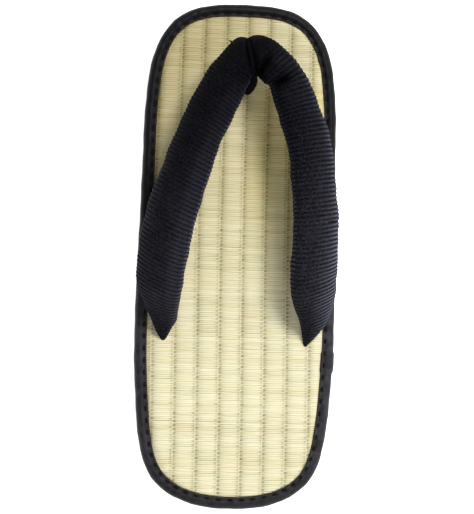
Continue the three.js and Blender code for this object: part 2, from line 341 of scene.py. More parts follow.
# -------------------------------------------------------------------------------- The rush insole
# Matting glued on a board. Rush stalks lie across the foot, woven over pairs of cotton warps that show only
# as lengthwise valleys. Between them the stalks swell into low pillows, and at each valley they are pinched
# together two by two, with the pairs changing partners from one pillow to the next.
STALK_PITCH = 1.04 * MM
STALK_UNEVENNESS = 0.13
PILLOW_PITCH, PILLOW_PITCH_AT_TOE = 11.75 * MM, 11.35 * MM
VALLEY_X = 4.9 * MM
PILLOW_WIDTH = 10.5 * MM
PILLOW_HEIGHT, RIDGE_HEIGHT, VALLEY_DEPTH = 0.6 * MM, 0.35 * MM, 0.05 * MM
PAIR_GAP, PINCHED_GAP, STALK_GAP = 0.42 * MM, 1.1 * MM, 0.1 * MM
PINCH_LENGTH = 1.2 * MM
PINCH_SHIFT = 0.2 * MM
FAR_VALLEY_AT_HEEL, FAR_VALLEY_AT_TOE = 0.6, 0.55
MAT_LEAN, LEAN_FROM_Y, LEAN_TO_Y = 2.25 * MM, -135 * MM, 45 * MM
MAT_INSET = 4.2 * MM
RELIEF_FROM, RELIEF_FULL = 5.6 * MM, 7.2 * MM
SETTLED, WANDER = 0.12 * MM, 0.05 * MM
chance = np.random.default_rng(12)

# Rows of points over one stalk, each a share of its width and how near it is to the gap before or after it.
STALK_ROWS = ((0.0, 1.0), (0.2, 0.5), (0.5, 0.0), (0.8, 0.5))

# Points across one pillow and the ridge after it, in millimetres from the pillow's first valley.
PILLOW_STATIONS = (0, 0.45, 1.5, 3.8, 6.7, 9.0, 10.05, 10.5, 11.1)

# How the mat's edge dips under the tape: insets from the outline and lifts, in millimetres.
TUCK = ((4.0, -2.4), (5.4, -2.4), (6.2, -2.0), (7.1, -0.7), (8.6, -0.08), (10.0, 0.0))


def stalk_rows(low, high):
    """Four rows of points over each stalk: their y, their stalk's number and how near its gap they are."""
    count = int((high - low) / STALK_PITCH)
    widths = 1 + STALK_UNEVENNESS * chance.standard_normal(count).clip(-2, 2)
    edges = low + (high - low) * np.concatenate([[0], np.cumsum(widths)]) / widths.sum()
    share, near = np.array(STALK_ROWS).T
    y = (edges[:-1, None] + np.diff(edges)[:, None] * share).ravel()
    number = np.repeat(np.arange(count), len(share))
    near_gap = np.tile(near, count)
    return np.append(y, high), np.append(number, count - 1), np.append(near_gap, 1.0)


def rush_relief(columns, u, y, number, near_gap):
    """Each point's height over the footbed, how deep in a gap it lies, its shift toward its stalk's partner,
    and how much painted shade lies on its pillow's left flank, next to the first valley."""
    pillow = PILLOW_HEIGHT * (1 - np.abs(2 * u / PILLOW_WIDTH - 1) ** 2.4) - VALLEY_DEPTH
    ridge_share = (u - PILLOW_WIDTH) / (PILLOW_PITCH - PILLOW_WIDTH)
    ridge = RIDGE_HEIGHT * np.sin(np.pi * ridge_share.clip(0, 1)) - VALLEY_DEPTH * 0.7
    height = np.where(u <= PILLOW_WIDTH, pillow, ridge)
    to_valley = np.minimum(u, np.abs(PILLOW_WIDTH - u))
    pinch = np.exp(-((to_valley / PINCH_LENGTH) ** 2)) * (u < PILLOW_WIDTH + 0.5 * MM)
    far = FAR_VALLEY_AT_HEEL + (FAR_VALLEY_AT_TOE - FAR_VALLEY_AT_HEEL) * smoothstep(y, -60 * MM, 20 * MM)
    pinch = pinch[None] * np.where(u[None] > PILLOW_WIDTH / 2, far[:, None], 1.0)

    count = number.max() + 2
    strength = chance.uniform(0.65, 1.15, (count, 2))
    crown = chance.normal(0, 0.035 * MM, count)
    swell = chance.normal(0, 0.05 * MM, (count, 40))
    lower_of_pair = (number[:, None] + columns[None]) % 2 == 0
    upper_half = np.concatenate([[False], np.diff(near_gap) > 0])
    between_pairs = np.where(upper_half[:, None], ~lower_of_pair, lower_of_pair)
    gap_strength = strength[(number + upper_half)[:, None], columns[None] % 2]
    wide_gap = PAIR_GAP + (PINCHED_GAP - PAIR_GAP) * pinch
    close_gap = STALK_GAP * (1 - 0.8 * pinch)
    near = near_gap[:, None] ** (1 - 0.35 * pinch)
    depth = np.where(between_pairs, wide_gap, close_gap) * gap_strength * near
    # Painted shade on the left flank of each pillow, fading out over a third of its width.
    low_end = (1 - smoothstep(u, 0, 0.34 * PILLOW_WIDTH)) * (u < PILLOW_WIDTH)
    height = height[None] + crown[number][:, None] + swell[number][:, columns % 40] - depth
    toward_partner = np.where(lower_of_pair, 1, -1)
    shift = toward_partner * pinch * PINCH_SHIFT * (1 - near_gap[:, None])
    return height, depth / PINCHED_GAP, shift, np.broadcast_to(low_end, depth.shape)


def rush_mat():
    edge, normals = outline(2400)
    edge = edge - normals * MAT_INSET
    half = len(edge) // 2
    y, number, near_gap = stalk_rows(edge[half, 1], edge[0, 1])
    half_width = np.interp(y, edge[: half + 1, 1][::-1], edge[: half + 1, 0][::-1])

    first = -math.ceil((WAIST_HALF_WIDTH + VALLEY_X) / PILLOW_PITCH)
    pillows = np.arange(first, -first)
    stations = np.array(PILLOW_STATIONS) * MM
    columns = np.repeat(pillows - first, len(stations))
    u = np.tile(stations, len(pillows))
    flat_x = (pillows[:, None] * PILLOW_PITCH + stations).ravel()
    narrowing = smoothstep(y, -20 * MM, HALF_LENGTH) * (1 - PILLOW_PITCH_AT_TOE / PILLOW_PITCH)
    lean = MAT_LEAN * smoothstep(y, LEAN_FROM_Y, LEAN_TO_Y)
    x = VALLEY_X - lean[:, None] + flat_x[None] * (1 - narrowing[:, None])
    bend = chance.uniform(0, 2 * np.pi, number.max() + 2)[number][:, None]
    stray = chance.normal(0, 1.0, number.max() + 2)[number][:, None]
    wander = WANDER * np.sin(x / (9 * MM) + bend) * stray.clip(-1.5, 1.5) * (1 - near_gap[:, None])

    height, gap, shift, low_end = rush_relief(columns, u, y, number, near_gap)
    x = np.clip(x, -half_width[:, None], half_width[:, None])
    at_edge = np.abs(x) >= half_width[:, None] - 1e-9
    y_there = y[:, None] + np.where(at_edge, 0, shift + wander)
    inset = inset_of(x.ravel(), y_there.ravel()).reshape(x.shape)
    tuck = np.interp(inset / MM, *zip(*TUCK)) * MM
    height = height * smoothstep(inset, RELIEF_FROM, RELIEF_FULL)
    settled = SETTLED * np.sin(x / (13 * MM) + 1.3) * np.sin(y[:, None] / (19 * MM))
    top = np.stack([x, y_there, footbed(y_there) + tuck + settled + np.where(at_edge, 0, height)], -1)

    side = np.stack([top[:, 0], top[:, -1]], 1)
    glued = side.copy()
    glued[..., 2] = sole_top(side[..., 1]) + 0.3 * MM
    wall = grid_faces(len(y), 2)
    points, faces = joined([
        (top, grid_faces(*top.shape[:2])),
        (glued, wall),
        (np.stack([side[:, 0], glued[:, 0]], 1), wall),
        (np.stack([side[:, 1], glued[:, 1]], 1), wall),
    ])
    return make_piece(
        "rush_insole", points, faces, woven_rush(),
        stalk=np.repeat(number, top.shape[1]), gap=gap.clip(0, 1), low_end=low_end,
    )


def woven_rush():
    """Dried rush: each stalk has its own straw tone, some are browner, and fine fibres run along them.

    It is darker and yellower toward the toe's left, partly a deeper tone and partly painted falloff of
    light. Between the strap's arms it is browner, partly real browning and partly painted warm shade where
    the arms' shadow falls.
    """
    material, place = start_material("Woven rush", Specular_IOR_Level=0.35)
    stalk, gap, low_end = place.held("stalk"), place.held("gap"), place.held("low_end")
    x, y = place.along("X"), place.along("Y")
    toeward = (y - x * 0.5).between(-70, 140)
    rightward = x.between(-15, 35)
    browning_and_warm_shade = x.between(-2, 14) * y.between(-30, 60) * (1 - y.between(82, 98))
    own_tone = stalk.node("ShaderNodeTexWhiteNoise", {"noise_dimensions": "1D"}, {"W": stalk + 0.5}, "Value")
    drift = place.stretched(0.035, 0.35, 0.1).noise(1.0, 3.0)
    fibres = place.stretched(0.12, 7.0, 2.0).noise(1.0, 3.0)
    tint = place.stretched(0.07, 0.35, 0.1).noise(1.0)
    brown = (own_tone * 0.6 + place.stretched(0.05, 0.9, 0.1).noise(1.0) * 0.7).between(0.86, 1.0)
    tone = own_tone * 0.5 + drift * 0.7 - 0.1

    straw = tone.node("ShaderNodeValToRGB", {"stops": (
        (0.0, (0.650, 0.590, 0.340)),
        (0.3, (0.820, 0.765, 0.510)),
        (0.6, (0.890, 0.845, 0.625)),
        (1.0, (0.940, 0.910, 0.730)),
    )}, {"Fac": tone})
    straw = (brown * 0.5).blend(straw, (0.70, 0.50, 0.25, 1))
    straw = ((1 - fibres.between(0.3, 0.7)) * 0.22).blend(straw, (0.56, 0.50, 0.24, 1))
    straw = (tint.between(0.52, 0.72) * 0.3).blend(straw, (0.66, 0.68, 0.36, 1))
    pink = (1 - tint.between(0.30, 0.48)) * (0.12 + toeward * 0.25)
    straw = pink.blend(straw, (0.86, 0.68, 0.46, 1))
    # Painted shade on each pillow's left flank, stronger toward the toe.
    colour = (low_end * (0.08 + toeward * 0.22)).blend(straw, (0.40, 0.35, 0.13, 1))
    # Painted shade in the gaps between stalk pairs, deepest in the pinched dots at the valleys; the pinched
    # fibres there are also a little darker in tone.
    colour = gap.between(0.0, 0.45).blend(colour, (0.31, 0.27, 0.08, 1))
    colour = gap.between(0.36, 0.66).blend(colour, (0.070, 0.056, 0.018, 1))
    # Darker and yellower toward the toe's left: partly a deeper tone of the rush, partly painted falloff of
    # light.
    colour = colour.tinted(toeward * (1 - rightward * 0.65), (0.69, 0.635, 0.49, 1))
    # Browner between the strap's arms: partly real browning, partly painted warm shade where the arms' shadow
    # falls.
    colour = colour.tinted(browning_and_warm_shade, (0.99, 0.92, 0.66, 1))
    cover(material, colour, 0.52 + fibres * 0.2, fibres, 0.06 * MM)
    return material


mat = rush_mat()
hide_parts("insole")


# -------------------------------------------------------------------------------- The edge tape
# A black cotton tape, rolled over the insole's rim from below and stitched down along its inner edge. The
# stitches pull dimples into it, and it gathers into small puckers round the toe and heel.
TAPE_STEPS = 900

# The rolled tape's section, in insets from the outline and heights over the sole, both in millimetres: its
# outer side from under the rim up and over to its stitched edge, and then its inner side back again.
TAPE_OUTSIDE = [
    (4.0, 0.3), (1.9, 0.3), (1.1, 0.55), (0.5, 1.1), (0.15, 2.1), (0.0, 3.3), (0.15, 4.5), (0.55, 5.5),
    (1.2, 6.3), (2.0, 6.85), (2.8, 7.15), (3.6, 7.15), (4.3, 6.95), (4.9, 6.65), (5.4, 6.65), (5.9, 6.9),
    (6.35, 6.8), (6.55, 6.3),
]
TAPE_INSIDE = [
    (6.3, 5.6), (4.8, 5.7), (3.4, 6.0), (2.1, 5.6), (1.3, 4.6), (1.1, 3.3), (1.4, 1.9), (2.2, 1.3),
    (4.0, 1.2),
]
LIP_FROM, LIP_TO = 5.5, 5.9
PUCKERS = ((3.7, 0.04), (5.3, 0.08), (8.1, 0.09), (13.0, 0.07), (31.0, 0.08))
SHORT_PUCKER = 10
STITCH_PITCH, STITCH_LENGTH = 6.4 * MM, 2.6 * MM
STITCH_INSET = 5.1
STITCH_HEIGHT, STITCH_DIVE = 6.0 * MM, 0.5 * MM
THREAD_WIDTH = 1.0 * MM
DIMPLE_DEPTH, DIMPLE_LENGTH, DIMPLE_WIDTH = 0.6 * MM, 1.55 * MM, 0.55
OVERLAP_AT, OVERLAP_LENGTH, OVERLAP_HEIGHT = (52 * MM, -54 * MM), 11 * MM, 0.45 * MM


def tape_lift(arc, around, inset, curl):
    """How far puckers and stitches lift or pull in the tape, and a mark where the stitches dimple it."""
    lift = np.zeros_like(arc)
    for length, size in PUCKERS:
        waves = np.round(around / (length * MM))
        phase, slant = chance.uniform(0, 2 * np.pi), chance.uniform(-0.5, 0.5)
        wave = size * MM * np.sin(2 * np.pi * waves * arc / around + phase + slant * inset)
        on_top = (0.3 + 0.9 * curl) * (0.25 + 0.75 * smoothstep(inset, 0.3, 1.5))
        lift = lift + wave * (on_top if length < SHORT_PUCKER else 1.0)
    lift = lift * (1 - smoothstep(inset, 5.6, 6.4))
    to_stitch = np.abs(arc % STITCH_PITCH - STITCH_PITCH / 2)
    dimple = np.exp(-((to_stitch / DIMPLE_LENGTH) ** 4) - ((inset - STITCH_INSET) / DIMPLE_WIDTH) ** 2)
    return lift - DIMPLE_DEPTH * dimple, dimple


def edge_tape():
    profile = np.array(TAPE_OUTSIDE + TAPE_INSIDE)
    rings = edge_rings([(inset, 1, lift) for inset, lift in profile], TAPE_STEPS)
    points, normals = outline(TAPE_STEPS)
    step = np.linalg.norm(np.roll(points, -1, 0) - points, axis=1)
    arc = np.cumsum(step) - step[0]
    turning = np.linalg.norm(np.roll(normals, -12, 0) - np.roll(normals, 12, 0), axis=1)
    curl = smoothstep(turning, 0.02, 0.5)
    outer = (profile[:, 1] > 0.4) & (np.arange(len(profile)) < len(TAPE_OUTSIDE))
    facing = np.gradient(profile, axis=0)
    facing = np.stack([facing[:, 1], facing[:, 0]], 1) / np.linalg.norm(facing, axis=1, keepdims=True)
    lift, dimple = tape_lift(arc[None], step.sum(), profile[:, :1], curl[None])
    lift = lift * outer[:, None]
    from_overlap = np.hypot(points[:, 0] - OVERLAP_AT[0], points[:, 1] - OVERLAP_AT[1])
    overlap = 1 - smoothstep(from_overlap, OVERLAP_LENGTH / 2 - 0.6 * MM, OVERLAP_LENGTH / 2)
    lift = lift + OVERLAP_HEIGHT * overlap[None] * outer[:, None]
    rings[..., 2] += lift * facing[:, 1:]
    rings[..., :2] += normals[None] * (lift * facing[:, :1])[..., None]
    faces = grid_faces(len(rings), TAPE_STEPS, closed_rows=True, closed_columns=True)
    lip = np.repeat(smoothstep(profile[:, 0], LIP_FROM, LIP_TO) * outer, TAPE_STEPS)
    return make_piece(
        "edge_tape_cloth", rings, faces, tape_cloth(), weld=False, dimple=dimple * outer[:, None], lip=lip,
    )


def tape_cloth():
    """Smooth, closely woven black cotton with a soft gloss on its folds, and painted sheen and shade."""
    material, place = start_material("Tape cloth", Specular_IOR_Level=0.14)
    weave = place.noise(3.2, 4.0)
    paler_share = place.noise(0.22, 3.0)
    dimple, lip = place.held("dimple"), place.held("lip")
    heelward = 0 - place.along("Y")
    rightward = place.along("X").between(-20, 50)
    # Painted sheen: the black is painted paler toward the heel and on the right, standing in for the lamps'
    # reflection there. The paler patches laid over it are wear.
    painted_sheen = (heelward.between(-50, 60) - heelward.between(90, 128) * 0.5) * (0.75 + rightward * 0.5)
    painted_sheen_colour = painted_sheen.blend((0.007, 0.007, 0.009, 1), (0.042, 0.041, 0.048, 1))
    colour = (0.45 + paler_share.between(0.35, 0.7) * 0.55).blend((0.002, 0.002, 0.003, 1), painted_sheen_colour)
    colour = (lip * weave.between(0.3, 0.6) * 0.9).blend(colour, (0.040, 0.026, 0.014, 1))
    # Painted shade in the dimples that the stitches pull into the tape.
    colour = dimple.between(0.2, 0.7).blend(colour, (0.001, 0.001, 0.001, 1))
    cover(material, colour, 0.42 + paler_share * 0.2 + dimple * 0.3, weave, 0.06 * MM)
    return material


def thread_run(path, radius, sides=8):
    """A round thread along a path, closed by rounded ends."""
    along = np.gradient(path, axis=0)
    along /= np.linalg.norm(along, axis=1, keepdims=True)
    first = np.cross(along, [0, 0, 1.0])
    first /= np.maximum(np.linalg.norm(first, axis=1, keepdims=True), 1e-9)
    second = np.cross(first, along)
    ends = np.sin(np.linspace(0, np.pi, len(path))) ** 0.5
    turn = np.linspace(0, 2 * np.pi, sides, endpoint=False)
    ring = np.cos(turn)[None, :, None] * first[:, None] + np.sin(turn)[None, :, None] * second[:, None]
    points = path[:, None] + ring * (radius * ends)[:, None, None]
    return points, grid_faces(len(path), sides, closed_columns=True)


def waxed_thread():
    """Black sewing thread, with a faint twist."""
    material, place = start_material("Stitching thread", Specular_IOR_Level=0.15)
    twist = place.noise(6.0)
    colour = twist.between(0.3, 0.7).blend((0.002, 0.002, 0.003, 1), (0.006, 0.006, 0.007, 1))
    cover(material, colour, 0.5 + twist * 0.3, twist, 0.05 * MM)
    return material


def stitches(material):
    """The row of stitches, each a short thread that dives into the tape at both ends."""
    points, normals = outline(4800)
    step = np.linalg.norm(np.roll(points, -1, 0) - points, axis=1)
    arc = np.cumsum(step) - step[0]
    around = step.sum()
    inner = points - normals * STITCH_INSET * MM
    share = np.linspace(-1, 1, 9)
    runs = []
    for centre in np.arange(STITCH_PITCH / 2, around, STITCH_PITCH)[:-1]:
        at = (centre + share * STITCH_LENGTH / 2) % around
        x, y = np.interp(at, arc, inner[:, 0]), np.interp(at, arc, inner[:, 1])
        z = sole_top(y) + STITCH_HEIGHT - STITCH_DIVE * np.abs(share) ** 3
        runs.append(thread_run(np.stack([x, y, z], 1), THREAD_WIDTH / 2))
    points, faces = joined(runs)
    return make_piece("tape_stitches", points, faces, material)


tape = edge_tape()
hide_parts("edge_tape")
sewing_thread = waxed_thread()
seam = stitches(sewing_thread)


# -------------------------------------------------------------------------------- The strap
# A tube of black corded cloth, ribbed across, filled with wadding and bent into two arms. The thong gathers
# it to a waist at the toe, where the right arm is folded back on itself in two creases, and its two tails are
# folded to points and drawn down through the insole. An end of its sewing thread sticks out beside the join.

# Sections along the strap, in millimetres and degrees. rise is the height over the footbed, heading is the
# direction across the tube to its outer side, and roll is how far that side dips.
JOIN = dict(x=2.3, y=102.6, rise=27.5, heading=101, roll=18, width=21.2, thick=9.8)
STRAP_ROWS = [
    dict(x=-37.5, y=-44.2, rise=-8.0, heading=180, roll=0, width=2.4, thick=3.0),
    dict(x=-37.5, y=-44.1, rise=-4.0, heading=180, roll=0, width=2.4, thick=3.0),
    dict(x=-37.5, y=-43.2, rise=-0.4, heading=180, roll=2, width=2.8, thick=3.4),
    dict(x=-37.6, y=-39.4, rise=3.2, heading=181, roll=7, width=7.2, thick=5.0),
    dict(x=-37.8, y=-33.4, rise=7.4, heading=182, roll=13, width=12.2, thick=7.6),
    dict(x=-39.2, y=-26.8, rise=12.6, heading=182, roll=19, width=16.4, thick=9.0),
    dict(x=-40.5, y=-19.8, rise=18.0, heading=180, roll=25, width=21.4, thick=10.0),
    dict(x=-40.7, y=-11.6, rise=23.6, heading=178, roll=28, width=24.8, thick=10.6),
    dict(x=-39.6, y=3.6, rise=31.0, heading=172, roll=31, width=27.0, thick=11.0),
    dict(x=-36.0, y=21.0, rise=35.6, heading=166, roll=32, width=27.4, thick=11.0),
    dict(x=-30.0, y=41.9, rise=37.2, heading=161, roll=31, width=25.8, thick=11.0),
    dict(x=-23.5, y=60.1, rise=36.4, heading=158, roll=29, width=24.0, thick=11.0),
    dict(x=-16.9, y=76.1, rise=34.0, heading=153, roll=27, width=23.8, thick=11.0),
    dict(x=-11.6, y=86.2, rise=31.8, heading=144, roll=25, width=23.0, thick=11.0),
    dict(x=-7.6, y=92.8, rise=30.1, heading=132, roll=22, width=21.4, thick=10.9),
    dict(x=-4.1, y=98.4, rise=28.7, heading=120, roll=20, width=21.0, thick=10.6),
    dict(x=-1.6, y=101.9, rise=27.9, heading=107, roll=18, width=21.6, thick=9.8),
    JOIN,
    dict(x=5.9, y=103.3, rise=28.0, heading=92, roll=18, width=21.8, thick=9.8),
    dict(x=8.9, y=102.2, rise=28.8, heading=79, roll=19, width=21.4, thick=11.2),
    dict(x=12.6, y=99.5, rise=29.8, heading=62, roll=21, width=20.8, thick=11.6),
    dict(x=16.9, y=95.9, rise=30.8, heading=44, roll=23, width=19.8, thick=11.4),
    dict(x=20.4, y=91.3, rise=31.8, heading=31, roll=24, width=19.2, thick=11.0),
    dict(x=25.5, y=80.2, rise=34.0, heading=22, roll=26, width=22.2, thick=11.0),
    dict(x=32.2, y=60.0, rise=36.6, heading=14, roll=29, width=24.0, thick=11.0),
    dict(x=35.4, y=41.8, rise=37.2, heading=9, roll=31, width=24.8, thick=11.0),
    dict(x=37.2, y=23.0, rise=35.6, heading=5, roll=32, width=25.8, thick=11.0),
    dict(x=38.0, y=3.7, rise=31.0, heading=2, roll=31, width=26.4, thick=11.0),
    dict(x=38.2, y=-11.6, rise=23.6, heading=1, roll=28, width=25.8, thick=10.6),
    dict(x=39.1, y=-20.0, rise=17.8, heading=0, roll=24, width=22.6, thick=10.0),
    dict(x=40.3, y=-27.0, rise=12.4, heading=0, roll=19, width=17.8, thick=9.0),
    dict(x=40.2, y=-33.8, rise=7.2, heading=-2, roll=13, width=12.8, thick=7.6),
    dict(x=38.6, y=-39.8, rise=3.0, heading=-4, roll=7, width=6.6, thick=5.0),
    dict(x=37.2, y=-44.7, rise=-0.5, heading=-4, roll=2, width=2.4, thick=3.0),
    dict(x=37.0, y=-45.6, rise=-4.0, heading=0, roll=0, width=2.2, thick=2.8),
    dict(x=37.0, y=-45.7, rise=-8.0, heading=0, roll=0, width=2.2, thick=2.8),
]
ROW_COLUMNS = ("x", "y", "rise", "heading", "roll", "width", "thick")
RIB_PITCH, RIB_HEIGHT = 2.2 * MM, 0.5 * MM
ROWS_PER_RIB = 6
SLACK = 0.4 * MM
STRAP_SIDES, STRAP_SQUARENESS = 56, 2.4
CLOTH_ROUND_TUBE = 60
RIGHT_RIBS_ON_TOP, LEFT_RIBS_ON_TOP = 0.22, 0.10
# Painted highlight on the rib crests, from each arm's inner side to its outer side.
RIGHT_HIGHLIGHT_INSIDE_AND_OUT, LEFT_HIGHLIGHT_INSIDE_AND_OUT = (0.35, 1.10), (0.65, 0.22)
LEFT_RIB_LEAD, LEFT_RIB_HEADING = 8, 143
RIGHT_RIB_HEADINGS = ((0, 54), (7, 54), (13, 52), (18, 46), (23, 37), (28, 28), (36, 23), (50, 16))
LEFT_TAIL_TILT, RIGHT_TAIL_TILT = 8, 16
CINCH_DEPTH, CINCH_HALF_LENGTH = 1.6 * MM, 1.0
WADDING_SWELLS = ((38, 0.22, 1), (23, 0.15, 2), (14.5, 0.10, 3), (9.2, 0.07, 4))

# The groove between the arms, the right arm's two folds, two faint folds, and a nick in the right arm's outer
# side. Each is pressed in along a line on the floor plan, and slopes off over its widths to left and right.
CREASES = [
    dict(line=((0.6, 114), (1.4, 104.5), (3.2, 97.5), (6.0, 90.5)),
         depth=3.8, left=1.4, right=1.3, fade=(0.15, 0)),
    dict(line=((5.4, 92.4), (8.4, 98.1), (12.4, 104.8)),
         depth=4.4, left=1.2, right=1.8, fade=(0.1, 0.4)),
    dict(line=((11.6, 87.0), (16.6, 90.4), (24.6, 94.6)),
         depth=4.4, left=1.0, right=2.2, fade=(0.2, 0.4)),
    dict(line=((13.6, 88.8), (18.0, 95.2), (21.5, 97.6)),
         depth=0.7, left=1.0, right=1.8, fade=(0.3, 0.5)),
    dict(line=((-3.4, 90.6), (-5.0, 96.0), (-8.0, 101.0)),
         depth=0.5, left=1.6, right=1.8, fade=(0.2, 0.6)),
    dict(line=((42.5, 19.2), (52.5, 20.0)),
         depth=1.1, left=0.6, right=0.7, fade=(0.3, 0.1)),
]


def catmull_rom(knots, at):
    """Smooth values through the rows of an array, at places counted in rows."""
    whole = np.clip(np.floor(at).astype(int), 0, len(knots) - 2)
    a, b, c, d = (knots[np.clip(whole + k, 0, len(knots) - 1)] for k in (-1, 0, 1, 2))
    t = (at - whole)[:, None]
    return b + t * ((c - a) / 2 + t * (a - 2.5 * b + 2 * c - d / 2 + t * (3 * (b - c) + d - a) / 2))


def tube_sections(table, spacing):
    """Sections at even steps along a table's smooth curve.

    Each has its way along the curve, its columns by name, its centre, and its axes across and through it.
    """
    knots = np.array([[row[column] for column in ROW_COLUMNS] for row in table])
    at = np.linspace(0, len(table) - 1, 4000)
    fine = catmull_rom(knots, at)
    spine = fine[:, :3] * MM
    spine[:, 2] += footbed(spine[:, 1])
    length = np.concatenate([[0], np.cumsum(np.linalg.norm(np.diff(spine, axis=0), axis=1))])
    along = np.linspace(0, length[-1], int(length[-1] / spacing))
    sections = catmull_rom(knots, np.interp(along, length, at))
    rows = dict(zip(ROW_COLUMNS, sections.T[..., None]))
    x, y, rise = rows["x"] * MM, rows["y"] * MM, rows["rise"] * MM
    centres = np.concatenate([x, y, footbed(y) + rise], 1)
    forward = np.gradient(centres, axis=0)
    heading, roll = np.radians(rows["heading"]), np.radians(rows["roll"])
    level = np.concatenate([np.cos(heading), np.sin(heading), np.zeros_like(heading)], 1)
    upright = np.cross(forward, level)
    upright /= np.linalg.norm(upright, axis=1, keepdims=True)
    wide = level * np.cos(roll) - upright * np.sin(roll)
    through = upright * np.cos(roll) + level * np.sin(roll)
    return along[:, None], rows, centres, wide, through


def section_shape(sides, squareness):
    """A rounded section: each point's share of the half width and half thickness, and which way it faces."""
    turn = np.linspace(0, 2 * np.pi, sides, endpoint=False)
    shape = [np.sign(c) * np.abs(c) ** (2 / squareness) for c in (np.cos(turn), np.sin(turn))]
    facing = [np.sign(c) * np.abs(c) ** (2 - 2 / squareness) for c in (np.cos(turn), np.sin(turn))]
    return np.stack(shape), np.stack(facing)


def off_centre(wide, through, aside, upward):
    """Steps off the centre of each section, so far along its width and so far through its thickness."""
    return aside[..., None] * wide[:, None] + upward[..., None] * through[:, None]


def end_cap(ring, centre):
    """A fan that closes a ring."""
    points = np.stack([ring, np.broadcast_to(centre, ring.shape)])
    return points, grid_faces(2, len(ring), closed_columns=True)


def beside_line(x, y, corners):
    """How far to the left of a bent line points lie, and the share of the way along it, in millimetres."""
    beside, share = np.full_like(x, 1e3), np.zeros_like(x)
    for number, (start, end) in enumerate(zip(np.array(corners[:-1]), np.array(corners[1:]))):
        run = end - start
        along = ((x - start[0]) * run[0] + (y - start[1]) * run[1]) / (run @ run)
        held = along.clip(0, 1)
        aside = np.hypot(x - start[0] - held * run[0], y - start[1] - held * run[1])
        left = run[0] * (y - start[1]) - run[1] * (x - start[0]) > 0
        nearer = aside < np.abs(beside)
        beside = np.where(nearer, np.where(left, aside, -aside), beside)
        share = np.where(nearer, (number + held) / (len(corners) - 1), share)
    return beside, share


def rib_crests(along, rows, a, half_wide, beyond):
    """1 on the crest of each rib and 0 between two ribs. They slant as the cloth is drawn round the bend."""
    heading = rows["heading"]
    by_tail = 1 - smoothstep(rows["rise"], 12, 30)
    left_heading = np.maximum(heading - LEFT_RIB_LEAD, LEFT_RIB_HEADING) - LEFT_TAIL_TILT * by_tail
    right_heading = np.where(beyond < 50, np.interp(beyond, *zip(*RIGHT_RIB_HEADINGS)), heading)
    right_heading = right_heading + RIGHT_TAIL_TILT * by_tail
    rib_heading = np.where(beyond < 0, left_heading, right_heading)
    skew = np.tan(np.radians(rib_heading - heading)) * smoothstep(np.abs(beyond), 0, 1.5)
    rib_place = along + a * half_wide * skew
    return np.abs(np.sin(np.pi * rib_place / RIB_PITCH)) ** 0.9


def uneven_wadding(along):
    """How far the wadding swells the cloth, in slow waves along the tube and round it."""
    around = np.linspace(0, 2 * np.pi, STRAP_SIDES, endpoint=False)
    swell = 0
    for length, size, twist in WADDING_SWELLS:
        start = chance.uniform(0, 2 * np.pi)
        waves = 2 * np.pi * along / (length * MM)
        swell = swell + size * MM * np.sin(waves + start + twist * around)
    return swell


def press_creases(points, upper):
    """How far the creases press each point in, and how much painted shade lies in them there."""
    x, y = points[..., 0] / MM, points[..., 1] / MM
    pressed, crease_shade = np.zeros_like(x), np.zeros_like(x)
    for crease in CREASES:
        beside, share = beside_line(x, y, crease["line"])
        first, last = crease["fade"]
        strength = upper * smoothstep(share, -0.01, first) * (1 - smoothstep(share, 1 - last, 1.01))
        away = np.abs(beside) / np.where(beside > 0, crease["left"], crease["right"])
        trough = np.exp(-(away**1.5))
        swell = 0.07 * min(crease["depth"], 3) * np.exp(-(((away - 3.0) / 1.2) ** 2))
        pressed = pressed + crease["depth"] * MM * (trough - swell) * strength
        crease_shade = np.maximum(crease_shade, trough * strength * min(1, crease["depth"] / 2))
    return pressed, crease_shade


